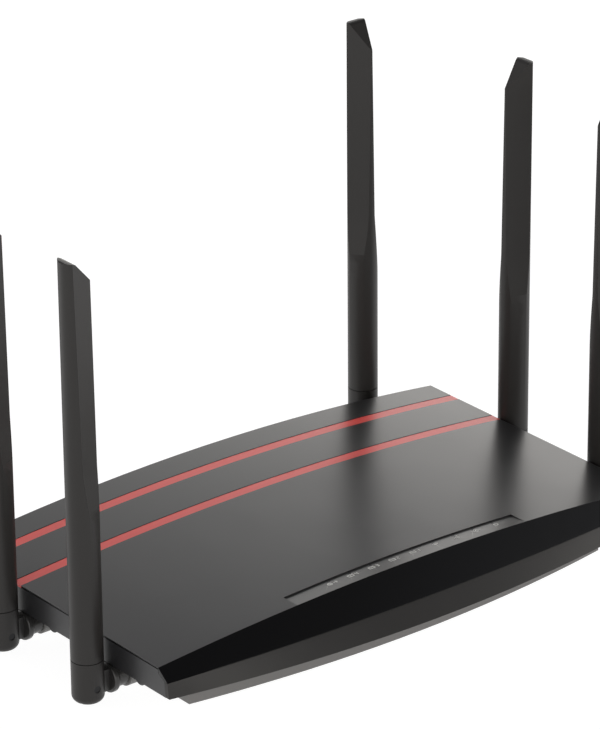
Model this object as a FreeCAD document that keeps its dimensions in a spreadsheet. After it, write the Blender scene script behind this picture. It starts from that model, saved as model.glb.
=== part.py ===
import FreeCAD, Part
import os
from math import cos, radians, sin, sqrt, tan
from FreeCAD import Placement, Rotation, Vector

# A wireless router: a wide casing with an arched top, five folding aerials and a board inside.
# Millimetres. X runs along the width, Y from the front to the rear, Z up from the table.

doc = FreeCAD.newDocument("wireless_router")
sheet = doc.addObject("Spreadsheet::Sheet", "sizes")
nodes = {}

DRIVING_SIZES = [
    ("body_width", "250"),
    ("side_length", "142.85"),
    ("hem_bow", "12.6"),
    ("foot_height", "2"),
    ("base_height", "13.6"),
    ("skirt_height", "11.1"),
    ("crown", "7.4"),
    ("crease_setback", "0.85"),
    ("crease_bow", "7.4"),
    ("crease_height", "6.5"),
    ("crease_rise", "0.8"),
    ("bevel_setback", "6.65"),
    ("bevel_bow", "1.9"),
    ("plate", "2.4"),
    ("wall", "2"),
    ("base_inset", "19"),
    ("base_setback", "16.4"),
    ("soffit_lift", "0.6"),
    ("soffit_thickness", "1.5"),
    ("rear_overhang", "1"),
    ("strip_width", "5.5"),
    ("strip_thickness", "1"),
    ("groove_depth", "1.1"),
    ("rear_strip_setback", "13.4"),
    ("strip_pitch", "27.2"),
    ("strip_bow", "1.8"),
    ("strip_rear_gap", "0.3"),
    ("seam_height", "0.5"),
    ("seam_depth", "0.6"),
    ("seam_drop", "0.35"),
    ("tab_radius", "3.6"),
    ("tab_drop", "1.1"),
    ("tab_reach", "22.5"),
    ("recess_width", "117.2"),
    ("recess_length", "9.1"),
    ("recess_depth", "0.6"),
    ("indicator_pitch", "10.56"),
    ("indicator_radius", "0.6"),
    ("indicator_inset", "1.2"),
    ("antenna_radius", "6.5"),
    ("antenna_length", "183.9"),
    ("facet_turn", "67"),
    ("facet_start", "68"),
    ("facet_bend", "99"),
    ("facet_bend_depth", "2.55"),
    ("facet_top_depth", "3.8"),
    ("tip_angle", "46"),
    ("tip_round", "3.1"),
    ("tip_flat", "1.86"),
    ("tip_lip", "0.6"),
    ("ring_seam", "0.35"),
    ("sleeve_height", "17.9"),
    ("sleeve_round", "3"),
    ("pin_height", "6.9"),
    ("pin_radius", "1.5"),
    ("tongue_thickness", "5.2"),
    ("tongue_radius", "4.6"),
    ("flange_reach", "8.5"),
    ("flange_thickness", "3"),
    ("flange_radius", "6.4"),
    ("neck_radius", "5.1"),
    ("neck_end", "15.9"),
    ("barrel_radius", "4"),
    ("barrel_end", "29.6"),
    ("boss_radius", "6"),
    ("side_reach", "8.5"),
    ("rear_reach", "15.95"),
    ("swivel_height", "6.7"),
    ("rear_swivel_rise", "8.35"),
    ("front_antenna_setback", "41.05"),
    ("antenna_pitch", "57.2"),
    ("rear_antenna_inset", "25"),
    ("running_gap", "0.05"),
    ("side_gap", "0.1"),
    ("seat_gap", "0.6"),
    ("board_thickness", "1.6"),
    ("board_lift", "2.4"),
    ("board_side_gap", "22"),
    ("screw_inset", "12"),
    ("screw_radius", "1.5"),
    ("screw_head_radius", "2.75"),
    ("screw_head_height", "2"),
    ("screw_length", "9"),
    ("screw_pad_height", "5"),
    ("foot_radius", "6"),
    ("jack_height", "13.6"),
    ("jack_depth", "21"),
    ("jack_pitch", "14"),
    ("cavity_width", "11.8"),
    ("cavity_height", "7"),
    ("cavity_depth", "15"),
    ("lan_x", "49"),
    ("wan_x", "6"),
    ("sim_x", "-36"),
    ("reset_x", "-57"),
    ("power_x", "-72"),
    ("power_bore_radius", "3.15"),
    ("button_radius", "1.7"),
    ("button_travel", "0.8"),
    ("lead_radius", "0.6"),
]

DERIVED_SIZES = [
    ("half_width", "=body_width / 2"),
    ("reach_behind", "=rear_reach + antenna_radius"),
    ("rear_edge_y", "=(side_length + hem_bow - reach_behind) / 2"),
    ("hem_y", "=rear_edge_y - side_length"),
    ("crease_y", "=hem_y + crease_setback"),
    ("bevel_y", "=hem_y + bevel_setback"),
    ("skirt_z", "=foot_height + base_height"),
    ("crease_z", "=skirt_z + crease_height"),
    ("end_top_z", "=skirt_z + skirt_height"),
    ("floor_z", "=foot_height + wall"),
    ("soffit_z", "=skirt_z + soffit_lift"),
    ("soffit_top_z", "=soffit_z + soffit_thickness"),
    ("base_half_width", "=half_width - base_inset"),
    ("base_front_y", "=hem_y + base_setback"),
    ("rear_wall_y", "=rear_edge_y - rear_overhang"),
    ("inner_wall_y", "=rear_wall_y - wall"),
    ("swivel_z", "=foot_height + swivel_height"),
    ("rear_swivel_z", "=swivel_z + rear_swivel_rise"),
    ("antenna_x", "=half_width + side_reach"),
    ("front_antenna_y", "=hem_y + front_antenna_setback"),
    ("rear_antenna_y", "=front_antenna_y + antenna_pitch"),
    ("back_antenna_x", "=half_width - rear_antenna_inset"),
    ("back_antenna_y", "=rear_edge_y + rear_reach"),
    ("board_z", "=floor_z + board_lift"),
    ("board_top_z", "=board_z + board_thickness"),
    ("board_half_width", "=base_half_width - wall - board_side_gap"),
    ("board_rear_y", "=inner_wall_y - 1.1"),
    ("board_front_y", "=base_front_y + wall - 0.05"),
    ("jack_face_y", "=rear_wall_y + 0.2"),
    ("screw_x", "=base_half_width - wall - screw_inset"),
    ("front_screw_y", "=base_front_y + screw_inset"),
    ("rear_screw_y", "=inner_wall_y - 17.5"),
    ("screw_pad_z", "=foot_height + screw_pad_height"),
    ("recess_rear_y", "=bevel_y - bevel_bow + recess_length"),
    ("indicator_y", "=recess_rear_y - indicator_inset"),
]


def fill_sheet():
    for row, (alias, content) in enumerate(DRIVING_SIZES + DERIVED_SIZES, start=1):
        sheet.set("A%d" % row, alias)
        sheet.set("B%d" % row, content)
        sheet.setAlias("B%d" % row, alias)
    doc.recompute()


def size(alias):
    return float(sheet.get(alias))


def bind(thing, **expressions):
    for name, expression in expressions.items():
        thing.setExpression(name.replace("_at_", "."), str(expression))


def place(thing, x, y, z):
    for axis, expression in (("x", x), ("y", y), ("z", z)):
        thing.setExpression("Placement.Base." + axis, str(expression))


def box(name, length, width, height, x, y, z):
    thing = doc.addObject("Part::Box", name)
    bind(thing, Length=length, Width=width, Height=height)
    place(thing, x, y, z)
    return thing


def centred_box(name, length, width, height, x, y, z):
    corner_x = "(%s) - (%s) / 2" % (x, length)
    corner_y = "(%s) - (%s) / 2" % (y, width)
    return box(name, length, width, height, corner_x, corner_y, z)


TURN_TO = {
    "z": Rotation(),
    "x": Rotation(Vector(0, 1, 0), 90),
    "y": Rotation(Vector(1, 0, 0), -90),
}


def cylinder(name, radius, height, x, y, z, axis="z"):
    thing = doc.addObject("Part::Cylinder", name)
    bind(thing, Radius=radius, Height=height)
    thing.Placement = Placement(Vector(), TURN_TO[axis])
    place(thing, x, y, z)
    return thing


def fuse(name, pieces):
    thing = doc.addObject("Part::MultiFuse", name)
    thing.Shapes = pieces
    return thing


def cut(name, base, tools):
    thing = doc.addObject("Part::Cut", name)
    thing.Base = base
    thing.Tool = tools[0] if len(tools) == 1 else fuse(name + "_tools", tools)
    return thing


def group(name, pieces):
    thing = doc.addObject("Part::Compound", name)
    thing.Links = pieces
    return thing


def keep(node, thing):
    thing.Label = node
    nodes[node] = thing


# Curved stretches of the casing.  Each long edge is a shallow parabola across the width, so a
# corner of a cross-section is (y, z, y bow, z bow): its place at the ends, and how far it moves
# by the middle of the casing.

def bowed_edge(corner, reach):
    y, z, y_bow, z_bow = corner
    share = (reach / size("half_width")) ** 2
    end = Vector(0, y + y_bow * (1 - share), z + z_bow * (1 - share))
    middle = Vector(0, y + y_bow * (1 + share), z + z_bow * (1 + share))
    curve = Part.BezierCurve()
    curve.setPoles([end + Vector(-reach, 0, 0), middle, end + Vector(reach, 0, 0)])
    return curve.toShape()


def bowed_shape(corners, reach):
    edges = [bowed_edge(corner, reach) for corner in corners]
    faces = []
    for index, edge in enumerate(edges):
        faces.append(Part.makeRuledSurface(edge, edges[(index + 1) % len(edges)]))
    for end in (0, -1):
        points = [edge.Vertexes[end].Point for edge in edges]
        faces.append(Part.Face(Part.makePolygon(points + points[:1])))
    shell = Part.makeShell(faces)
    shell.sewShape()
    solid = Part.makeSolid(shell)
    if solid.Volume < 0:
        solid.reverse()
    return solid


def bowed(name, corners, reach):
    thing = doc.addObject("Part::Feature", name)
    thing.Shape = bowed_shape(corners, reach)
    return thing


def top_corner(y, drop, y_bow=0):
    return (y, size("end_top_z") - drop, y_bow, size("crown"))


def crown_at(x):
    return "sizes.crown * (1 - ((%s) / sizes.half_width) ^ 2)" % x


# Top cover

def indicator_places():
    return [(index - 3.5) * size("indicator_pitch") for index in range(9)]


def strip_rear_lines():
    first = size("rear_edge_y") - size("rear_strip_setback")
    return {"rear_red_strip": first, "front_red_strip": first - size("strip_pitch")}


def cover_plate():
    plate = size("plate")
    front, rear, bow = size("bevel_y"), size("rear_edge_y"), -size("bevel_bow")
    corners = [top_corner(front, 0, bow), top_corner(rear, 0), top_corner(rear, plate)]
    corners.append(top_corner(front, plate, bow))
    return bowed("cover_plate", corners, size("half_width"))


def cover_skirt(name, side):
    wall, z = size("wall"), size("skirt_z")
    high = size("end_top_z") - size("plate") / 2
    outline = [(size("rear_edge_y"), z), (size("rear_edge_y"), high), (size("bevel_y"), high)]
    outline.append((size("bevel_y"), size("end_top_z") - size("plate")))
    outline += [(size("crease_y") + wall, size("crease_z")), (size("hem_y") + wall, z)]
    x = size("half_width") - wall if side > 0 else -size("half_width")
    points = [Vector(x, y, z) for y, z in outline]
    face = Part.Face(Part.makePolygon(points + points[:1]))
    thing = doc.addObject("Part::Feature", name)
    thing.Shape = face.extrude(Vector(wall, 0, 0))
    return thing


def skirt_tabs():
    tabs = []
    z = "sizes.skirt_z + sizes.tab_radius - sizes.tab_drop"
    for x in ("-sizes.half_width", "sizes.half_width - sizes.wall"):
        for spot in ("front", "rear"):
            y = "sizes.%s_antenna_y - sizes.tab_reach" % spot
            tabs.append(cylinder("skirt_tab", "sizes.tab_radius", "sizes.wall", x, y, z, "x"))
    return tabs


def skirt_seams():
    seams = []
    z = "sizes.end_top_z - sizes.seam_drop - sizes.seam_height"
    for x in ("-sizes.half_width - 1", "sizes.half_width - sizes.seam_depth"):
        seams.append(box("skirt_seam", "sizes.seam_depth + 1", "sizes.side_length", "sizes.seam_height",
                         x, "sizes.bevel_y - 1", z))
    return seams


def strip_groove(name, line):
    width, depth, bow = size("strip_width"), size("groove_depth"), -size("strip_bow")
    corners = [top_corner(line, -1, bow), top_corner(line - width, -1, bow)]
    corners += [top_corner(line - width, depth, bow), top_corner(line, depth, bow)]
    return bowed(name, corners, size("half_width") + 1)


def indicator_recess():
    rear, length, depth = size("recess_rear_y"), size("recess_length"), size("recess_depth")
    front = rear - 1.4 * length
    corners = [top_corner(rear, -2), top_corner(front, -2)]
    corners += [top_corner(front, -0.4 * depth), top_corner(rear, depth)]
    return bowed("indicator_recess", corners, size("recess_width") / 2)


def screw_places():
    places = []
    for side in ("-", ""):
        places.append((side + "sizes.screw_x", "sizes.front_screw_y"))
        places.append((side + "sizes.screw_x", "sizes.rear_screw_y"))
    return places


def make_top_cover():
    pieces = [cover_plate(), cover_skirt("left_skirt", -1), cover_skirt("right_skirt", 1)]
    pieces += skirt_tabs()
    holes = [indicator_recess()] + skirt_seams()
    for node, line in strip_rear_lines().items():
        holes.append(strip_groove(node + "_groove", line))
    for number, (x, y) in enumerate(screw_places()):
        post_height = "sizes.end_top_z - sizes.plate / 2 + %s - sizes.screw_pad_z" % crown_at(x)
        pieces.append(cylinder("cover_post_%d" % number, 3.5, post_height, x, y, "sizes.screw_pad_z"))
        deep = "sizes.screw_length + 1"
        holes.append(cylinder("pilot_%d" % number, "sizes.screw_radius", deep, x, y, "sizes.screw_pad_z"))
    for number, x in enumerate(indicator_places()):
        radius = "sizes.indicator_radius + sizes.running_gap"
        holes.append(cylinder("window_%d" % number, radius, 30, x, "sizes.indicator_y", "sizes.skirt_z"))
    keep("top_cover", cut("top_cover", fuse("cover_body", pieces), holes))


def make_red_strips():
    width, gap, bow = size("strip_width"), size("side_gap") / 2, -size("strip_bow")
    low = size("groove_depth")
    high = low - size("strip_thickness")
    for node, line in strip_rear_lines().items():
        rear, front = line - size("strip_rear_gap"), line - width + gap
        corners = [top_corner(rear, high, bow), top_corner(front, high, bow)]
        corners += [top_corner(front, low, bow), top_corner(rear, low, bow)]
        keep(node, bowed(node, corners, size("half_width")))


# Front lens and fascia, one above the other along the crease

def crease_corner(inward):
    return (size("crease_y") + inward, size("crease_z"), -size("crease_bow"), size("crease_rise"))


def make_front_lens():
    bow = -size("bevel_bow")
    corners = [top_corner(size("bevel_y"), 0, bow), crease_corner(0), crease_corner(size("wall"))]
    corners.append(top_corner(size("bevel_y"), size("plate"), bow))
    keep("front_lens", bowed("front_lens", corners, size("half_width")))


def make_front_fascia():
    y, z, bow, wall = size("hem_y"), size("skirt_z"), -size("hem_bow"), size("wall")
    corners = [crease_corner(0), (y, z, bow, 0), (y + wall, z, bow, 0), crease_corner(wall)]
    keep("front_fascia", bowed("front_fascia", corners, size("half_width")))


# Bottom case: an inset tray, a soffit under the cover's skirts, a rear wall and aerial bosses

def bowed_prism(name, corner, far_side, reach, depth):
    edge = bowed_edge(corner, reach)
    left, right = edge.Vertexes[0].Point, edge.Vertexes[1].Point
    far = [Vector(reach, *far_side), Vector(-reach, *far_side)]
    sides = [Part.makeLine(right, far[0]), Part.makeLine(far[0], far[1]), Part.makeLine(far[1], left)]
    thing = doc.addObject("Part::Feature", name)
    thing.Shape = Part.Face(Part.Wire([edge] + sides)).extrude(depth)
    return thing


def case_block(name, rear, low, high, reach, inset=0):
    corner = (size("base_front_y") + inset, low, -size("hem_bow"), 0)
    return bowed_prism(name, corner, (rear, low), reach, Vector(0, 0, high - low))


def case_soffit():
    low, high, wall = size("soffit_z"), size("soffit_top_z"), size("wall")
    rise = (high - size("skirt_z")) / size("crease_height")
    front = size("hem_y") + wall + size("crease_setback") * rise + size("side_gap")
    bow = -(size("hem_bow") + (size("crease_bow") - size("hem_bow")) * rise)
    reach = size("half_width") - wall - size("side_gap")
    depth = Vector(0, 0, high - low)
    return bowed_prism("case_soffit", (front, low, bow, 0), (size("rear_wall_y"), low), reach, depth)


def case_rear_wall():
    inner, low = size("inner_wall_y"), size("soffit_z")
    corner = top_corner(inner, size("plate") + size("side_gap"))
    reach = size("half_width") - size("wall") - size("side_gap")
    depth = Vector(0, size("rear_wall_y") - inner, 0)
    return bowed_prism("case_rear_wall", corner, (inner, low), reach, depth)


BOSS_LENGTH = "(sizes.barrel_end - sizes.neck_end - sizes.seat_gap - 2 * sizes.running_gap)"


def side_boss(name, side, y, radius, length, start):
    low = "sizes.antenna_x - %s - %s" % (start, length)
    if side < 0:
        low = "-sizes.antenna_x + %s" % start
    return cylinder(name, radius, length, low, y, "sizes.swivel_z", "x")


def rear_boss(name, radius, length, start):
    low = "sizes.back_antenna_y - %s - %s" % (start, length)
    return cylinder(name, radius, length, "sizes.back_antenna_x", low, "sizes.rear_swivel_z", "y")


def aerial_bosses():
    seat = "(sizes.neck_end + sizes.seat_gap)"
    bore = "sizes.barrel_radius + sizes.running_gap"
    collar = "(sizes.swivel_height)"
    room = ("sizes.barrel_radius + 1.1", "6", "(sizes.barrel_end - 2 * sizes.running_gap)")
    bosses, bores = [], []
    for side, word in ((-1, "left"), (1, "right")):
        for spot in ("front", "rear"):
            y = "sizes.%s_antenna_y" % spot
            name = "%s_%s" % (word, spot)
            bosses.append(side_boss(name + "_boss", side, y, "sizes.boss_radius", BOSS_LENGTH, seat))
            start = "(sizes.antenna_x - sizes.base_half_width - 4)"
            bosses.append(side_boss(name + "_collar", side, y, collar, 4, start))
            bores.append(side_boss(name + "_bore", side, y, bore, "30", "(sizes.flange_reach)"))
            bores.append(side_boss(name + "_room", side, y, *room))
    bosses.append(rear_boss("back_boss", "sizes.boss_radius", BOSS_LENGTH, seat))
    bores.append(rear_boss("back_bore", bore, "30", "(sizes.flange_reach)"))
    bores.append(rear_boss("back_room", *room))
    return bosses, bores


def screw_pads():
    pads, bores = [], []
    for number, (x, y) in enumerate(screw_places()):
        pads.append(cylinder("screw_pad_%d" % number, 5, "sizes.screw_pad_height", x, y, "sizes.foot_height"))
        well = "sizes.screw_pad_height - 2"
        radius = "sizes.screw_head_radius + 0.3"
        bores.append(cylinder("screw_well_%d" % number, radius, well, x, y, "sizes.foot_height"))
        bores.append(cylinder("screw_way_%d" % number, "sizes.screw_radius + 0.2", 20, x, y, 0))
    return pads, bores


def board_corners():
    spots = []
    for x in ("-(sizes.board_half_width - 5)", "sizes.board_half_width - 5"):
        spots.append((x, "sizes.board_front_y + 8"))
        spots.append((x, "sizes.board_rear_y - 50"))
    return spots


def standoffs():
    posts, pilots = [], []
    for number, (x, y) in enumerate(board_corners()):
        base = "sizes.floor_z - 0.5"
        posts.append(cylinder("standoff_%d" % number, 3, "sizes.board_lift + 0.5", x, y, base))
        pilots.append(cylinder("standoff_hole_%d" % number, 1, "sizes.board_lift", x, y, "sizes.floor_z"))
    return posts, pilots


def bottom_vents():
    slots = []
    for row, y in enumerate((-14, 18)):
        for column in range(-9, 10):
            name = "vent_%d_%d" % (row, column + 9)
            slots.append(centred_box(name, 2, 22, "sizes.wall + 2", column * 5.5, y, "sizes.foot_height - 1"))
    return slots


def foot_places():
    places = []
    for x in ("-(sizes.screw_x - 13)", "sizes.screw_x - 13"):
        places.append((x, "sizes.front_screw_y - 1"))
        places.append((x, "sizes.rear_screw_y + 6"))
    return places


def foot_seats():
    seats = []
    for number, (x, y) in enumerate(foot_places()):
        radius = "sizes.foot_radius + sizes.running_gap"
        seats.append(cylinder("foot_seat_%d" % number, radius, 0.6, x, y, "sizes.foot_height"))
    return seats


def port_cutouts():
    y, deep = "sizes.inner_wall_y - 1", "sizes.wall + 2"
    z, tall = "sizes.board_top_z - 0.2", "sizes.jack_height + 0.4"
    lan_width, wan_width = "sizes.jack_pitch * 4 + 1.4", "sizes.jack_pitch + 2.4"
    ways = [box("lan_way", lan_width, deep, tall, "sizes.lan_x - (%s) / 2" % lan_width, y, z)]
    ways.append(box("wan_way", wan_width, deep, tall, "sizes.wan_x - (%s) / 2" % wan_width, y, z))
    ways.append(box("sim_way", 27, deep, 2.4, "sizes.sim_x - 13.5", y, "sizes.board_top_z + 0.4"))
    ways.append(box("power_way", 9.4, deep, 11.4, "sizes.power_x - 4.7", y, z))
    radius = "sizes.button_radius + sizes.running_gap"
    z = "sizes.board_top_z + 3"
    ways.append(cylinder("reset_way", radius, deep, "sizes.reset_x", y, z, "y"))
    return ways


def make_bottom_case():
    wall, reach = size("wall"), size("base_half_width")
    top = size("soffit_top_z")
    outside = case_block("tray_outside", size("rear_wall_y"), size("foot_height"), top, reach)
    inner_wall = size("inner_wall_y")
    inside = case_block("tray_inside", inner_wall, size("floor_z"), top + 1, reach - wall, wall)
    shell = cut("case_shell", fuse("case_skin", [outside, case_soffit()]), [inside])
    bosses, bores = aerial_bosses()
    pads, ways = screw_pads()
    posts, pilots = standoffs()
    body = fuse("case_body", [shell, case_rear_wall()] + bosses + pads + posts)
    holes = bores + ways + pilots + bottom_vents() + foot_seats() + port_cutouts()
    keep("bottom_case", cut("bottom_case", body, holes))


def make_feet():
    feet = []
    for number, (x, y) in enumerate(foot_places()):
        feet.append(cylinder("foot_%d" % number, "sizes.foot_radius", "sizes.foot_height + 0.6", x, y, 0))
    keep("rubber_feet", group("rubber_feet", feet))


def screw(name, x, y, head_z, radius, head_radius, head_height, length):
    head = cylinder(name + "_head", head_radius, head_height, x, y, head_z)
    shank = cylinder(name + "_shank", radius, length, x, y, "%s + %s - 0.01" % (head_z, head_height))
    slot = centred_box(name + "_slot", "%s * 1.3" % head_radius, 0.6, 0.7, x, y, "%s - 0.01" % head_z)
    cross = centred_box(name + "_cross", 0.6, "%s * 1.3" % head_radius, 0.7, x, y, "%s - 0.01" % head_z)
    return cut(name, fuse(name + "_body", [head, shank]), [slot, cross])


def make_case_screws():
    screws = []
    for number, (x, y) in enumerate(screw_places()):
        head_z = "(sizes.screw_pad_z - 2 - sizes.screw_head_height)"
        radii = ("sizes.screw_radius", "sizes.screw_head_radius", "sizes.screw_head_height")
        length = "(sizes.screw_length + 2)"
        screws.append(screw("case_screw_%d" % number, x, y, head_z, *radii, length))
    keep("case_screws", group("case_screws", screws))


# Board and what is soldered to it

def make_main_board():
    half, depth = "sizes.board_half_width", "(sizes.board_rear_y - sizes.board_front_y)"
    sheet_of_board = box("board_sheet", "2 * " + half, depth, "sizes.board_thickness",
                         "-" + half, "sizes.board_front_y", "sizes.board_z")
    holes = []
    for number, (x, y) in enumerate(board_corners()):
        holes.append(cylinder("board_hole_%d" % number, 1.3, 4, x, y, "sizes.board_z - 1"))
    keep("main_board", cut("main_board", sheet_of_board, holes))


def make_board_screws():
    screws = []
    for number, (x, y) in enumerate(board_corners()):
        head = cylinder("board_screw_head_%d" % number, 2.4, 1.2, x, y, "sizes.board_top_z")
        length = "sizes.board_thickness + sizes.board_lift - 0.2"
        low = "sizes.board_top_z - (%s)" % length
        shank = cylinder("board_screw_shank_%d" % number, 1, length + " + 0.1", x, y, low)
        screws.append(fuse("board_screw_%d" % number, [head, shank]))
    keep("board_screws", group("board_screws", screws))


def on_board(name, length, width, height, x, y, lift=0):
    return centred_box(name, length, width, height, x, y, "sizes.board_top_z + %s" % lift)


def make_chips():
    keep("router_chip", on_board("router_chip", 15, 15, 1.4, 12, -4))
    places = [("ram_chip", 9, 13, 1.2, 34, -4), ("flash_chip", 6, 8, 1.6, -8, -4)]
    places += [("switch_chip", 12, 12, 1.2, 40, 20), ("modem_power_chip", 5, 5, 1, -60, 30)]
    keep("memory_chips", group("memory_chips", [on_board(*entry) for entry in places]))
    cans = [on_board("wifi_shield", 30, 22, 2.6, 55, -30), on_board("radio_shield", 22, 18, 2.6, 12, -38)]
    keep("shield_cans", group("shield_cans", cans))
    coils = [on_board("lan_coil_a", 24, 8, 4.2, 35, 35), on_board("lan_coil_b", 24, 8, 4.2, 63, 35)]
    coils.append(on_board("wan_coil", 13, 8, 4.2, 6, 35))
    keep("line_transformers", group("line_transformers", coils))


def make_heat_sink():
    base = on_board("heat_sink_base", 24, 24, 1.6, 12, -4, 1.4)
    fins = [base]
    for index in range(7):
        fins.append(on_board("heat_sink_fin_%d" % index, 1, 24, 6, 0.5 + index * 3.8333, -4, 2.9))
    keep("heat_sink", fuse("heat_sink", fins))


def make_capacitors():
    cans = []
    for number, (x, y) in enumerate(((-76, 36), (-68, 36), (-76, 44), (-20, 20))):
        cans.append(cylinder("capacitor_%d" % number, 3, 8.5, x, y, "sizes.board_top_z"))
    keep("capacitors", group("capacitors", cans))


def make_modem():
    socket = on_board("modem_socket_body", 30, 7, 4.6, -52, 14)
    slot = on_board("modem_socket_slot", 26, 4, 1.2, -52, 11.9, 2.2)
    keep("modem_socket", cut("modem_socket", socket, [slot]))
    card = on_board("modem_card_sheet", 25.6, 46, 1, -52, -12.8 + 1.5, 2.3)
    can = on_board("modem_card_can", 24, 34, 2, -52, -14, 3.29)
    keep("modem_card", fuse("modem_card", [card, can]))


def make_indicators():
    leds = []
    rods = []
    wide, middle = "8 * sizes.indicator_pitch + 4", "0.5 * sizes.indicator_pitch"
    foot = "sizes.board_top_z + 1"
    rods.append(centred_box("guide_bar", wide, 1.6, 1.6, middle, "sizes.indicator_y", foot))
    for number, x in enumerate(indicator_places()):
        y = "sizes.indicator_y + 5.6"
        leds.append(on_board("led_%d" % number, 1.6, 1, 0.7, x, y))
        arm_y = "sizes.indicator_y - 0.8"
        rods.append(box("guide_arm_%d" % number, 1.2, 7.2, 1.2, x - 0.6, arm_y, foot))
        fade = "sizes.recess_depth * (1 - sizes.indicator_inset / sizes.recess_length)"
        top = "sizes.end_top_z + %s - %s - 0.05" % (crown_at(x), fade)
        height = "%s - (%s)" % (top, foot)
        rods.append(cylinder("guide_rod_%d" % number, "sizes.indicator_radius", height, x,
                             "sizes.indicator_y", foot))
    keep("status_leds", group("status_leds", leds))
    keep("light_guide", fuse("light_guide", rods))


# Rear sockets

def jack(name, count, x):
    wide = "(sizes.jack_pitch * %d + %g)" % (count, 1 if count > 1 else 2)
    low = "sizes.jack_face_y - sizes.jack_depth"
    shell = box(name + "_block", wide, "sizes.jack_depth", "sizes.jack_height",
                "%s - %s / 2" % (x, wide), low, "sizes.board_top_z")
    holes = []
    for index in range(count):
        middle = "%s + (%g) * sizes.jack_pitch" % (x, index - (count - 1) / 2)
        y = "sizes.jack_face_y - sizes.cavity_depth / 2 + 0.5"
        deep = "(sizes.cavity_depth + 1)"
        steps = [("sizes.cavity_width", "sizes.cavity_height", 4), (6.2, 1.9, 2.2), (3.4, 1.2, 1.1)]
        for step, (width, height, lift) in enumerate(steps):
            z = "sizes.board_top_z + %g" % lift
            holes.append(centred_box("%s_way_%d_%d" % (name, index, step), width, deep, height, middle, y, z))
    keep(name, cut(name, shell, holes))


def make_power_socket():
    z = "sizes.board_top_z + 6"
    block = box("power_block", 9, 14, 11, "sizes.power_x - 4.5", "sizes.jack_face_y - 14", "sizes.board_top_z")
    bore = cylinder("power_bore", "sizes.power_bore_radius", 11, "sizes.power_x",
                    "sizes.jack_face_y - 10", z, "y")
    keep("power_socket", cut("power_socket", block, [bore]))
    pin = cylinder("power_pin_rod", 1.05, 9, "sizes.power_x", "sizes.jack_face_y - 10", z, "y")
    keep("power_pin", pin)


def make_sim_socket():
    y = "sizes.inner_wall_y - 26"
    cage = box("sim_cage", 28, 25.8, 3.2, "sizes.sim_x - 14", y, "sizes.board_top_z")
    slot = box("sim_slot", 25.4, 26, 1.2, "sizes.sim_x - 12.7", y + " + 1", "sizes.board_top_z + 1")
    keep("sim_socket", cut("sim_socket", cage, [slot]))


def make_reset_button():
    z = "sizes.board_top_z + 3"
    stem = cylinder("reset_stem", "sizes.button_radius", "sizes.wall + 5.6", "sizes.reset_x",
                    "sizes.inner_wall_y - 5", z, "y")
    collar = cylinder("reset_collar", "sizes.button_radius + 0.9", 1.2, "sizes.reset_x",
                      "sizes.inner_wall_y - 1.3", z, "y")
    keep("reset_button", fuse("reset_button", [stem, collar]))
    body = box("reset_switch_body", 6, 4, 5.4, "sizes.reset_x - 3", "sizes.inner_wall_y - 10.4",
               "sizes.board_top_z")
    keep("reset_switch", body)


# Aerials.  Each is made about its own swivel: x towards the casing, y along the hinge pin,
# z up the blade, with zero where the pin crosses the swivel axis.

def antenna_knuckle(name):
    tongue_round = cylinder(name + "_round", "sizes.tongue_radius", "sizes.tongue_thickness", 0,
                            "-sizes.tongue_thickness / 2", 0, "y")
    bar = box(name + "_bar", "sizes.flange_reach + 0.5", "sizes.tongue_thickness", "2 * sizes.tongue_radius",
              0, "-sizes.tongue_thickness / 2", "-sizes.tongue_radius")
    flange = cylinder(name + "_flange_disc", "sizes.flange_radius", "sizes.flange_thickness",
                      "sizes.flange_reach", 0, 0, "x")
    eased = doc.addObject("Part::Fillet", name + "_flange")
    eased.Base = flange
    doc.recompute()
    eased.Edges = [(round_edge(flange, size("flange_reach")), 0.6, 0.6),
                   (round_edge(flange, size("flange_reach") + size("flange_thickness")), 1.2, 1.2)]
    start = "sizes.flange_reach + sizes.flange_thickness - 0.5"
    neck = cylinder(name + "_neck", "sizes.neck_radius", "sizes.neck_end - (%s)" % start, start, 0, 0, "x")
    start = "sizes.neck_end - 0.5"
    barrel = cylinder(name + "_barrel", "sizes.barrel_radius", "sizes.barrel_end - (%s)" % start,
                      start, 0, 0, "x")
    head = cylinder(name + "_head", "sizes.barrel_radius + 0.8", 2, "sizes.barrel_end", 0, 0, "x")
    hole = cylinder(name + "_pin_hole", "sizes.pin_radius + sizes.running_gap", 14, 0, -7, 0, "y")
    way = cylinder(name + "_lead_way", 1, 40, "sizes.flange_reach - 2", 0, 0, "x")
    body = fuse(name + "_body", [tongue_round, bar, eased, neck, barrel, head])
    return cut(name, body, [hole, way])


def round_edge(thing, place_along, direction=Vector(1, 0, 0)):
    for number, edge in enumerate(thing.Shape.Edges, start=1):
        middle = edge.CenterOfMass if edge.isClosed() else None
        if middle is not None and abs(middle.dot(direction) - place_along) < 0.01:
            return number
    raise ValueError("no round edge there")


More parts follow.
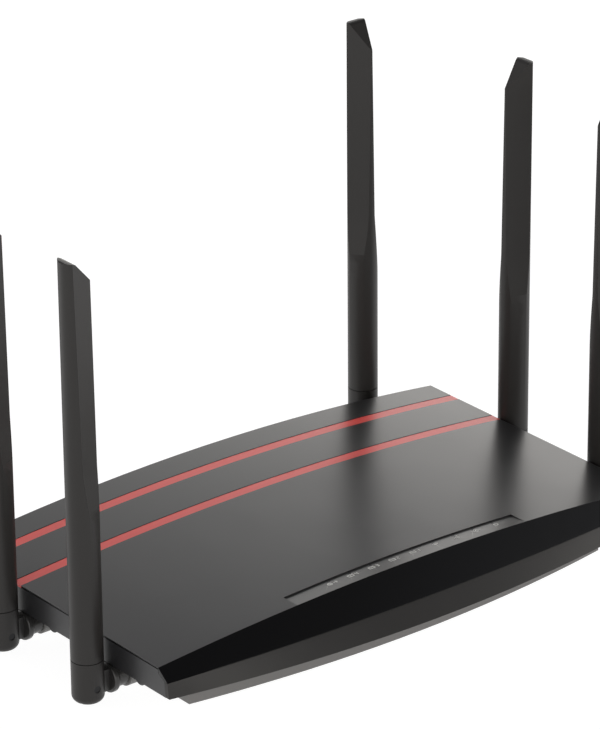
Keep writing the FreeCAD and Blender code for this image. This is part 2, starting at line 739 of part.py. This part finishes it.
def antenna_sleeve(name):
    low = "-sizes.pin_height"
    tube = cylinder(name + "_tube", "sizes.antenna_radius", "sizes.sleeve_height", 0, 0, low)
    eased = doc.addObject("Part::Fillet", name + "_eased")
    eased.Base = tube
    doc.recompute()
    round_size = size("sleeve_round")
    eased.Edges = [(round_edge(tube, -size("pin_height"), Vector(0, 0, 1)), round_size, round_size)]
    gap = "(sizes.tongue_thickness + 2 * sizes.side_gap)"
    room = "(sizes.tongue_radius + 0.4)"
    round_slot = cylinder(name + "_slot_round", room, gap, 0, "-%s / 2" % gap, 0, "y")
    side_slot = box(name + "_slot_side", 10, gap, "10 + " + room, 0, "-%s / 2" % gap, -10)
    foot_slot = box(name + "_slot_foot", "10 + " + room, gap, 10, "-" + room, "-%s / 2" % gap, -10)
    hole = cylinder(name + "_pin_hole", "sizes.pin_radius", 16, 0, -8, 0, "y")
    way = cylinder(name + "_lead_way", 1, 30, 0, 0, 0)
    top = "sizes.sleeve_height - sizes.pin_height - 3"
    socket = cylinder(name + "_socket", "sizes.antenna_radius - 1.4", 5, 0, 0, top)
    return cut(name, eased, [round_slot, side_slot, foot_slot, hole, way, socket])


def antenna_facet(name, side):
    turn = radians(side * size("facet_turn"))
    outward, along = Vector(cos(turn), sin(turn), 0), Vector(-sin(turn), cos(turn), 0)
    radius, start, bend = size("antenna_radius"), size("facet_start"), size("facet_bend")
    top = size("antenna_length") + 1
    bend_depth, top_depth = size("facet_bend_depth"), size("facet_top_depth")
    lead_in = 2 * bend_depth / (bend - start)
    outline = [(radius + lead_in, start - 2), (radius - bend_depth, bend), (radius - top_depth, top)]
    outline += [(2 * radius, top), (2 * radius, start - 2)]
    points = [outward * reach + Vector(0, 0, z - size("pin_height")) - along * 10 for reach, z in outline]
    thing = doc.addObject("Part::Feature", name)
    thing.Shape = Part.Face(Part.makePolygon(points + points[:1])).extrude(along * 20)
    return thing


def antenna_tip(name):
    top, radius = size("antenna_length") - size("pin_height"), size("antenna_radius")
    slant, rounding = radians(size("tip_angle")), size("tip_round")
    arc_x, outer_x = size("tip_flat") - radius, size("tip_lip") - radius
    arc = []
    for turn in (0, slant / 2, slant):
        arc.append(Vector(arc_x + rounding * sin(turn), -10, top - rounding * (1 - cos(turn))))
    low = arc[2] + Vector(2 * radius, 0, -2 * radius * tan(slant))
    lip = Vector(outer_x, -10, top)
    outer = lip + Vector(-2, 0, -2 * tan(slant / 1.4))
    corners = [low, Vector(low.x, -10, top + 8), Vector(outer.x, -10, top + 8), outer, lip, arc[0]]
    sides = [Part.makeLine(a, b) for a, b in zip([arc[2]] + corners, corners)]
    wire = Part.Wire([Part.Arc(*arc).toShape()] + sides)
    thing = doc.addObject("Part::Feature", name)
    thing.Shape = Part.Face(wire).extrude(Vector(0, 20, 0))
    return thing


def antenna_radome(name):
    foot = "(sizes.sleeve_height - sizes.pin_height)"
    length = "(sizes.antenna_length - sizes.sleeve_height)"
    seam = "sizes.ring_seam"
    tube = cylinder(name + "_tube", "sizes.antenna_radius", "%s - %s" % (length, seam), 0, 0,
                    "%s + %s" % (foot, seam))
    ring = cylinder(name + "_ring", "sizes.antenna_radius - " + seam, 2, 0, 0, foot)
    spigot = cylinder(name + "_spigot", "sizes.antenna_radius - 1.45", 3.5, 0, 0, foot + " - 2.9")
    lower = cylinder(name + "_lower_bore", 3, 79, 0, 0, foot + " - 3")
    upper = cylinder(name + "_upper_bore", 2.2, length + " - 30", 0, 0, foot + " - 3")
    facets = [antenna_facet(name + "_facet", side) for side in (-1, 1)]
    body = fuse(name + "_body", [tube, ring, spigot])
    return cut(name, body, [lower, upper, antenna_tip(name + "_tip")] + facets)


def antenna_element(name):
    foot = "(sizes.sleeve_height - sizes.pin_height)"
    rod = cylinder(name + "_rod", 0.7, "sizes.antenna_length - 50", 0, 0, foot + " - 2")
    sleeve = cylinder(name + "_choke", 2.6, 52, 0, 0, foot + " + 22")
    coil = cylinder(name + "_coil", 1.8, 9, 0, 0, foot + " + 100")
    return fuse(name, [rod, sleeve, coil])


def antenna_pin(name):
    length = "(2 * sizes.antenna_radius - 0.6)"
    return cylinder(name, "sizes.pin_radius", length, 0, "-%s / 2" % length, 0, "y")


ANTENNAS = {
    "left_front_antenna": ("-sizes.antenna_x", "sizes.front_antenna_y", "sizes.swivel_z", 0),
    "left_rear_antenna": ("-sizes.antenna_x", "sizes.rear_antenna_y", "sizes.swivel_z", 0),
    "right_front_antenna": ("sizes.antenna_x", "sizes.front_antenna_y", "sizes.swivel_z", 180),
    "right_rear_antenna": ("sizes.antenna_x", "sizes.rear_antenna_y", "sizes.swivel_z", 180),
    "back_antenna": ("sizes.back_antenna_x", "sizes.back_antenna_y", "sizes.rear_swivel_z", -90),
}


def settle(node, thing, spot):
    x, y, z, turn = spot
    holder = group(node, [thing])
    holder.Placement = Placement(Vector(), Rotation(Vector(0, 0, 1), turn))
    place(holder, x, y, z)
    keep(node, holder)


def make_antennas():
    makers = {"knuckle": antenna_knuckle, "hinge_pin": antenna_pin, "sleeve": antenna_sleeve,
              "radome": antenna_radome, "element": antenna_element}
    for word, maker in makers.items():
        pattern = maker("aerial_" + word)
        for antenna, spot in ANTENNAS.items():
            settle("%s_%s" % (antenna, word), pattern, spot)


# Aerial leads inside the casing

def rounded_tube(points, radius):
    pieces = []
    start = points[0]
    for before, corner, after in zip(points, points[1:], points[2:]):
        arriving = (corner - before).normalize()
        leaving = (after - corner).normalize()
        half_turn = arriving.getAngle(leaving) / 2
        setback = 0.45 * min((corner - before).Length, (after - corner).Length)
        first, last = corner - arriving * setback, corner + leaving * setback
        bisector = (leaving - arriving).normalize()
        bend = setback / tan(half_turn)
        centre = corner + bisector * sqrt(bend ** 2 + setback ** 2)
        halfway = centre - bisector * bend
        pieces.append(Part.LineSegment(start, first).toShape())
        pieces.append(Part.Arc(first, halfway, last).toShape())
        start = last
    pieces.append(Part.LineSegment(start, points[-1]).toShape())
    path = Part.Wire(pieces)
    along = (points[1] - points[0]).normalize()
    section = Part.Wire(Part.makeCircle(radius, points[0], along))
    return path.makePipeShell([section], True, False)


def lead_routes():
    level = size("board_top_z") + 0.75
    edge = size("board_half_width")
    start = size("antenna_x") - size("barrel_end") - 2.4
    routes = []
    for side in (-1, 1):
        for y in (size("front_antenna_y"), size("rear_antenna_y")):
            end = Vector(side * (edge - 3.4), y, level)
            bend = Vector(side * (edge + 6), y, level)
            routes.append([Vector(side * start, y, size("swivel_z")), bend, end])
    x, y, z = size("back_antenna_x"), size("back_antenna_y"), size("rear_swivel_z")
    back_start = y - size("barrel_end") - 2.4
    routes.append([Vector(x, back_start, z), Vector(x, back_start - 11, z),
                   Vector(edge + 9, back_start - 19, level), Vector(edge - 3.4, back_start - 19, level)])
    return routes


def make_antenna_leads():
    leads, plugs = [], []
    for number, route in enumerate(lead_routes()):
        lead = doc.addObject("Part::Feature", "lead_%d" % number)
        lead.Shape = rounded_tube(route, size("lead_radius"))
        leads.append(lead)
        end = route[-1]
        inward = -1.5 if end.x > 0 else 1.5
        plugs.append(cylinder("lead_plug_%d" % number, 1.4, 1.6, end.x + inward, end.y, "sizes.board_top_z"))
    keep("antenna_leads", group("antenna_leads", leads))
    keep("lead_plugs", group("lead_plugs", plugs))


def build():
    fill_sheet()
    make_top_cover()
    make_red_strips()
    make_front_lens()
    make_front_fascia()
    make_bottom_case()
    make_feet()
    make_case_screws()
    make_main_board()
    make_board_screws()
    make_chips()
    make_heat_sink()
    make_capacitors()
    make_modem()
    make_indicators()
    jack("lan_sockets", 4, "sizes.lan_x")
    jack("wan_socket", 1, "sizes.wan_x")
    make_power_socket()
    make_sim_socket()
    make_reset_button()
    make_antennas()
    make_antenna_leads()
    doc.recompute()


def check():
    for thing in doc.Objects:
        if "Invalid" in thing.State or "Error" in thing.State:
            raise RuntimeError("failed: " + thing.Name)
    for node, thing in nodes.items():
        if thing.Shape.isNull() or not thing.Shape.isValid() or thing.Shape.Volume <= 0:
            raise RuntimeError("bad shape: " + node)


def write_parts():
    os.makedirs("parts", exist_ok=True)
    for node, thing in nodes.items():
        thing.Shape.exportStep("parts/%s.step" % node)
        print("%-28s %10.1f mm3  %d solids" % (node, thing.Shape.Volume, len(thing.Shape.Solids)))


build()
check()
write_parts()
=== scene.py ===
import bpy
import bmesh
from math import cos, pi, radians, sin
from mathutils import Matrix, Vector


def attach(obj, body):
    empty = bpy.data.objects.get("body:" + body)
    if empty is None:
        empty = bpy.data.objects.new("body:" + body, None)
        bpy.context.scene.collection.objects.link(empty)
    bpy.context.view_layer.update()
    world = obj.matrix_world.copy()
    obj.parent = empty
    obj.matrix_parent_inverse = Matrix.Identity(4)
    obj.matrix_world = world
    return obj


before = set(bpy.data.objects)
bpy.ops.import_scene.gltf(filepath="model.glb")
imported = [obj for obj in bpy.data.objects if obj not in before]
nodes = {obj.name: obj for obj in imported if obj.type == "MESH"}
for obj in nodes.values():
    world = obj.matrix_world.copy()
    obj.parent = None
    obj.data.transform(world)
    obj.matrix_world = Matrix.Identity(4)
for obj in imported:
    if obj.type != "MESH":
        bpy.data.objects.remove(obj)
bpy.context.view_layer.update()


# Bottom case: the black tray the whole router is built in.  It is moulded ABS with a fine spark
# texture that hides fingerprints, and it carries the hinge bosses and the rear wall.  The sink
# marks of moulding show as a slow change in how dull the surface is.

plastic_ior = 1.5
flow_scale = 26
weld_reach = 0.000002
round_above = radians(35)
split_above = radians(32)


def moulded(name, colour, dullness, grain=0.0004, depth=0.06, mottle=0.08, shine=0.5):
    finish = bpy.data.materials.new(name)
    finish.use_nodes = True
    tree = finish.node_tree
    shader = tree.nodes["Principled BSDF"]
    shader.inputs["IOR"].default_value = plastic_ior
    shader.inputs["Specular IOR Level"].default_value = shine
    place = tree.nodes.new("ShaderNodeTexCoord")
    texture = tree.nodes.new("ShaderNodeTexNoise")
    texture.inputs["Scale"].default_value = 1 / grain
    texture.inputs["Detail"].default_value = 3
    tree.links.new(place.outputs["Object"], texture.inputs["Vector"])
    bump = tree.nodes.new("ShaderNodeBump")
    bump.inputs["Strength"].default_value = depth
    bump.inputs["Distance"].default_value = grain * 0.5
    tree.links.new(texture.outputs["Fac"], bump.inputs["Height"])
    tree.links.new(bump.outputs["Normal"], shader.inputs["Normal"])
    flow = tree.nodes.new("ShaderNodeTexNoise")
    flow.inputs["Scale"].default_value = flow_scale
    flow.inputs["Detail"].default_value = 5
    tree.links.new(place.outputs["Object"], flow.inputs["Vector"])
    sheen = tree.nodes.new("ShaderNodeMapRange")
    sheen.inputs["To Min"].default_value = dullness * (1 - mottle)
    sheen.inputs["To Max"].default_value = dullness * (1 + mottle)
    tree.links.new(flow.outputs["Fac"], sheen.inputs["Value"])
    tree.links.new(sheen.outputs["Result"], shader.inputs["Roughness"])
    tint = tree.nodes.new("ShaderNodeMix")
    tint.data_type = "RGBA"
    tint.inputs["A"].default_value = (*[c * (1 - mottle) for c in colour], 1)
    tint.inputs["B"].default_value = (*[c * (1 + mottle) for c in colour], 1)
    tree.links.new(flow.outputs["Fac"], tint.inputs["Factor"])
    tree.links.new(tint.outputs["Result"], shader.inputs["Base Color"])
    return finish


def dress(finish, *names, softened=0.0):
    for name in names:
        node = nodes[name]
        node.data.materials.clear()
        node.data.materials.append(finish)
        for face in node.data.polygons:
            face.use_smooth = True
        weld = node.modifiers.new("joined", "WELD")
        weld.merge_threshold = weld_reach
        if softened:
            bevel = node.modifiers.new("softened", "BEVEL")
            bevel.width = softened
            bevel.segments = 2
            bevel.limit_method = "ANGLE"
            bevel.angle_limit = round_above
        split = node.modifiers.new("crisp", "EDGE_SPLIT")
        split.split_angle = split_above
        split.use_edge_sharp = False
        if softened:
            flat = node.modifiers.new("level", "WEIGHTED_NORMAL")
            flat.mode = "FACE_AREA"
            flat.weight = 100


# Painted light: the tray's black ABS is lifted to a mid grey, painted bounce standing in for the
# white floor's light on its walls.
base_black_and_painted_bounce = moulded("base_black_and_painted_bounce", (0.105, 0.102, 0.099), 0.50, depth=0.16)
dress(base_black_and_painted_bounce, "bottom_case", softened=0.00025)


# Feet and screws: four rubber pads pressed in shallow seats keep the case off the table, and
# four blackened screws go up through the base into the cover's posts.

rubber = moulded("foot_rubber", (0.018, 0.018, 0.018), 0.75, grain=0.0007, depth=0.2)
dress(rubber, "rubber_feet")


def metal(name, colour, dullness, streak=0.15):
    finish = moulded(name, colour, dullness, grain=0.0002, depth=0.04, mottle=streak)
    finish.node_tree.nodes["Principled BSDF"].inputs["Metallic"].default_value = 1
    return finish


dress(metal("blackened_steel", (0.20, 0.20, 0.21), 0.42), "case_screws", "board_screws")


# Board: a green laminate sheet with the chips, cans and transformers soldered to it, and a blue
# modem card in its own socket.  None of it shows until the cover is off.

def laminate(name, colour):
    return moulded(name, colour, 0.32, grain=0.0012, depth=0.12)


dress(laminate("green_laminate", (0.015, 0.11, 0.045)), "main_board")
dress(laminate("blue_laminate", (0.012, 0.045, 0.13)), "modem_card")
chip_black = moulded("chip_resin", (0.016, 0.016, 0.017), 0.55, depth=0.2)
dress(chip_black, "router_chip", "memory_chips", "line_transformers", "reset_switch")
dress(metal("tinned_steel", (0.66, 0.66, 0.65), 0.30), "shield_cans", "sim_socket")
dress(metal("cast_fins", (0.55, 0.55, 0.57), 0.40), "heat_sink")
dress(metal("can_aluminium", (0.62, 0.62, 0.63), 0.28), "capacitors")
dress(metal("pin_steel", (0.55, 0.55, 0.56), 0.30), "power_pin")
dress(metal("plug_brass", (0.68, 0.50, 0.22), 0.30), "lead_plugs")
dress(moulded("lead_jacket", (0.02, 0.02, 0.02), 0.5), "antenna_leads")
dress(moulded("led_resin", (0.72, 0.74, 0.70), 0.2), "status_leds")
socket_black = moulded("socket_black", (0.022, 0.022, 0.023), 0.42, depth=0.1)
dress(socket_black, "lan_sockets", "wan_socket", "power_socket", "modem_socket")
dress(moulded("button_black", (0.05, 0.05, 0.052), 0.4), "reset_button")


# Top cover: the arched lid, moulded in black ABS with a fine satin skin that mirrors the room
# as soft smears.  Two grooves cross it for the red bands and a shallow step marks the lamps.

cover_black = moulded("cover_black", (0.012, 0.012, 0.013), 0.30, grain=0.0005, depth=0.05)
dress(cover_black, "top_cover", softened=0.0003)


# Red bands: two thin strips of red ABS, bent to the arch and glued in the grooves.

band_red = moulded("band_red", (0.80, 0.060, 0.050), 0.36, grain=0.0005, depth=0.05)
dress(band_red, "rear_red_strip", "front_red_strip")


# Front: a polished black lens leans back under the cover's front edge, and a dull fascia tucks
# in below it.  Both snap to the cover from inside.

lens_black = moulded("lens_black", (0.002, 0.002, 0.0022), 0.16, depth=0.02, mottle=0.05,
                     shine=0.38)
dress(lens_black, "front_lens", softened=0.0002)
fascia_grey = moulded("fascia_grey", (0.015, 0.0142, 0.0135), 0.40, depth=0.12, shine=0.28)
dress(fascia_grey, "front_fascia", softened=0.0002)


# Lamp guide: one clear moulding takes the light of nine lamps up to the windows in the step.

dress(moulded("guide_smoked", (0.010, 0.010, 0.011), 0.22), "light_guide")


# Symbols: nine light grey marks tampo-printed on the floor of the step, one beside each lamp: a
# globe and arrow, four sockets numbered from the right, waves, bars, a ring and dot, and power.
# Each mark starts just under the floor and stands 0.07 mm proud of it.

step_rear = -0.0625
step_depth = 0.0006
step_run = 0.01274
step_fall = 0.00084
lid_edge = 0.0267
lid_rise = 0.0074
lid_half = 0.125
lamp_count = 9
lamp_pitch = 0.01056
mark_width = 0.00034
mark_line_y = -0.0659
mark_sunk = 0.00004
mark_thick = 0.00011
digit_half = 0.00045
digit_rise = 0.0009
circle = 360


def step_floor(x, y):
    sunk = step_depth - step_fall * (step_rear - y) / step_run
    return lid_edge - sunk + lid_rise * (1 - (x / lid_half) ** 2)


def bar(ink, x, y, length, turn=0.0, width=mark_width):
    spin = Matrix.Rotation(radians(turn), 4, "Z")
    stretch = Matrix.Diagonal((length, width, 1, 1))
    where = Matrix.Translation((x, y, 0)) @ spin @ stretch
    bmesh.ops.create_grid(ink, x_segments=1, y_segments=1, size=0.5, matrix=where)


def arc(ink, x, y, radius, start=0, sweep=circle, width=mark_width):
    ends = []
    for reach in (radius - width / 2, radius + width / 2):
        turn = radians(start)
        ends.append(ink.verts.new((x + reach * cos(turn), y + reach * sin(turn), 0)))
    edge = ink.edges.new(ends)
    bmesh.ops.spin(ink, geom=ends + [edge], cent=(x, y, 0), axis=(0, 0, 1), angle=radians(sweep),
                   steps=max(8, sweep // 15), use_merge=sweep == circle)


def digit(ink, x, y, strokes):
    half, rise = digit_half, digit_rise
    spots = {"top": (0, rise, 0), "middle": (0, 0, 0), "foot": (0, -rise, 0),
             "left_high": (-half, rise / 2, 90), "right_high": (half, rise / 2, 90),
             "left_low": (-half, -rise / 2, 90), "right_low": (half, -rise / 2, 90)}
    for stroke in strokes.split():
        aside, up, turn = spots[stroke]
        length = rise - 0.6 * mark_width if turn else 2 * half - 0.4 * mark_width
        bar(ink, x + aside, y + up, length, turn)


def socket_mark(ink, x, y, strokes):
    for up in (-0.0008, 0.0008):
        bar(ink, x - 0.0012, y + up, 0.0026)
    for aside in (-0.0025, 0.0001):
        bar(ink, x + aside, y, 0.0014, 90)
    for aside in (-0.0019, -0.0012, -0.0005):
        bar(ink, x + aside, y + 0.0003, 0.0007, 90, 0.0002)
    digit(ink, x + 0.0017, y, strokes)


ink = bmesh.new()
places = [(number - 3.5) * lamp_pitch for number in range(lamp_count)]
globe_x = places[0] - 0.0012
arc(ink, globe_x, mark_line_y, 0.001)
bar(ink, globe_x, mark_line_y, 0.0017)
bar(ink, globe_x, mark_line_y + 0.0005, 0.0006, 90)
bar(ink, globe_x, mark_line_y - 0.0005, 0.0006, 90)
bar(ink, places[0] + 0.0014, mark_line_y, 0.0016)
arrow_tip_x = places[0] + 0.0021
bar(ink, arrow_tip_x, mark_line_y + 0.0004, 0.001, -45)
bar(ink, arrow_tip_x, mark_line_y - 0.0004, 0.001, 45)
socket_mark(ink, places[1], mark_line_y, "left_high right_high middle right_low")
socket_mark(ink, places[2], mark_line_y, "top right_high middle right_low foot")
socket_mark(ink, places[3], mark_line_y, "top right_high middle left_low foot")
socket_mark(ink, places[4], mark_line_y, "right_high right_low")
wave_y = mark_line_y - 0.0009
for reach in (0.0006, 0.0012, 0.0018):
    arc(ink, places[5], wave_y, reach, 40, 100)
bar(ink, places[5], wave_y, 0.0004, 0, 0.0004)
for rank in range(4):
    tall = 0.0005 * (rank + 1)
    bar(ink, places[6] + (rank - 1.5) * 0.0007, mark_line_y - 0.001 + tall / 2, tall, 90, 0.0004)
arc(ink, places[7], mark_line_y, 0.001)
bar(ink, places[7], mark_line_y, 0.0005, 0, 0.0005)
for side in (-1, 1):
    bar(ink, places[7] + side * 0.0018, mark_line_y, 0.0009)
arc(ink, places[8], mark_line_y - 0.0001, 0.0009, 120, 300)
bar(ink, places[8], mark_line_y + 0.0006, 0.0009, 90)
printed = bmesh.ops.extrude_face_region(ink, geom=ink.faces[:])
raised = [part for part in printed["geom"] if isinstance(part, bmesh.types.BMVert)]
for point in ink.verts:
    point.co.z = step_floor(point.co.x, point.co.y) - mark_sunk
for point in raised:
    point.co.z += mark_thick
bmesh.ops.recalc_face_normals(ink, faces=ink.faces)
mark_mesh = bpy.data.meshes.new("printed_symbols")
ink.to_mesh(mark_mesh)
ink.free()
mark_mesh.materials.append(moulded("print_grey", (0.62, 0.62, 0.60), 0.6, depth=0.02))
marks = bpy.data.objects.new("printed_symbols", mark_mesh)
bpy.context.scene.collection.objects.link(marks)
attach(marks, "casing")


# Socket contacts: eight gilt wires slant down from the ceiling of each network cavity, sprung to
# press on a plug.  They are drawn bronze wire, gilt where they touch.

cavity_centres = (0.006, 0.028, 0.042, 0.056, 0.070)
wires_each = 8
wire_pitch = 0.00102
wire_middle_y = 0.0577
wire_middle_z = 0.0170
wire_size = (0.00035, 0.0092, 0.0003, 1)
wire_edge = 0.00006
wires = bmesh.new()
lean_back = Matrix.Rotation(radians(20), 4, "X")
for cavity in cavity_centres:
    for wire in range(wires_each):
        x = cavity + (wire - 3.5) * wire_pitch
        where = Matrix.Translation((x, wire_middle_y, wire_middle_z)) @ lean_back
        where = where @ Matrix.Diagonal(wire_size)
        bmesh.ops.create_cube(wires, size=1, matrix=where)
bmesh.ops.bevel(wires, geom=wires.edges[:], offset=wire_edge, affect="EDGES", segments=1,
                profile=0.5, material=-1)
wire_mesh = bpy.data.meshes.new("socket_contacts")
wires.to_mesh(wire_mesh)
wires.free()
wire_mesh.materials.append(metal("contact_gilt", (0.80, 0.58, 0.24), 0.28))
contacts = bpy.data.objects.new("socket_contacts", wire_mesh)
bpy.context.scene.collection.objects.link(contacts)
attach(contacts, "casing")


# Aerials: five black rods on swivels.  Each has a knuckle that turns in the case, a sleeve that
# folds on a steel pin, and a long hollow rod cut slantwise at the tip, all in matt black ABS.

aerials = ["left_front_antenna", "left_rear_antenna", "right_front_antenna", "right_rear_antenna",
           "back_antenna"]
rod_black = moulded("rod_black", (0.0105, 0.0093, 0.0086), 0.42, depth=0.14, shine=0.34)
knuckle_black = moulded("knuckle_black", (0.018, 0.0175, 0.017), 0.36, depth=0.08)
pin_black = metal("pin_blackened", (0.030, 0.030, 0.031), 0.45)
radiator_brass = metal("radiator_brass", (0.62, 0.47, 0.22), 0.35)
for aerial in aerials:
    dress(rod_black, aerial + "_radome", aerial + "_sleeve", softened=0.00025)
    dress(knuckle_black, aerial + "_knuckle")
    dress(pin_black, aerial + "_hinge_pin")
    dress(radiator_brass, aerial + "_element")


# Floor: a wide sheet of matt white acrylic, lit from below like a product table.

table_glow = 0.93
bpy.ops.mesh.primitive_plane_add(size=12, location=(0, 0, 0))
floor = bpy.context.object
floor.name = "light_table"
glow = moulded("table_white", (0.25, 0.25, 0.25), 0.8, grain=0.002, depth=0.02, mottle=0.01)
table_shader = glow.node_tree.nodes["Principled BSDF"]
table_shader.inputs["Specular IOR Level"].default_value = 0
table_shader.inputs["Emission Color"].default_value = (1, 1, 1, 1)
table_shader.inputs["Emission Strength"].default_value = table_glow
floor.data.materials.append(glow)


# Light: a round room, brightest at its horizon and dark overhead, with no lamps.  The arched top
# mirrors the lower walls, so its far side is the lightest.

sky = bpy.data.worlds.new("round_room")
bpy.context.scene.world = sky
sky.use_nodes = True
room = sky.node_tree
room_light = 2.8
room.nodes["Background"].inputs["Strength"].default_value = room_light
toward = room.nodes.new("ShaderNodeTexCoord")
split = room.nodes.new("ShaderNodeSeparateXYZ")
room.links.new(toward.outputs["Generated"], split.inputs["Vector"])
wall_fade = room.nodes.new("ShaderNodeValToRGB")
room.links.new(split.outputs["Z"], wall_fade.inputs["Fac"])
shades = [(0.0, (1.00, 0.97, 0.93)), (0.26, (0.88, 0.86, 0.83)), (0.375, (0.58, 0.57, 0.555)),
          (0.407, (0.45, 0.445, 0.44)), (0.485, (0.28, 0.28, 0.285)), (0.545, (0.20, 0.20, 0.21)),
          (0.63, (0.115, 0.115, 0.12)), (0.72, (0.042, 0.042, 0.044)), (1.0, (0.032, 0.032, 0.034))]
stops = wall_fade.color_ramp.elements
for number, (height, shade) in enumerate(shades):
    stop = stops[number] if number < 2 else stops.new(height)
    stop.position = height
    stop.color = (*shade, 1)
room.links.new(wall_fade.outputs["Color"], room.nodes["Background"].inputs["Color"])


# Camera: above the front left corner with a long lens.

camera = bpy.data.cameras.new("camera")
camera.sensor_fit = "VERTICAL"
camera.sensor_height = 36
camera.lens = 213.14
camera.clip_end = 50
view = bpy.data.objects.new("camera", camera)
bpy.context.scene.collection.objects.link(view)
spot = Vector((-0.9839, -1.2437, 0.7872))
aim = Vector((0.04643, 0.05857, 0.06117))
ahead = (aim - spot).normalized()
across = ahead.cross(Vector((0, 0, 1))).normalized()
above = across.cross(ahead)
lean = radians(-0.51)
right = across * cos(lean) + above * sin(lean)
upward = above * cos(lean) - across * sin(lean)
turn = Matrix((right, upward, -ahead)).transposed().to_4x4()
view.matrix_world = Matrix.Translation(spot) @ turn
bpy.context.scene.camera = view
bpy.context.scene.view_settings.view_transform = "Standard"
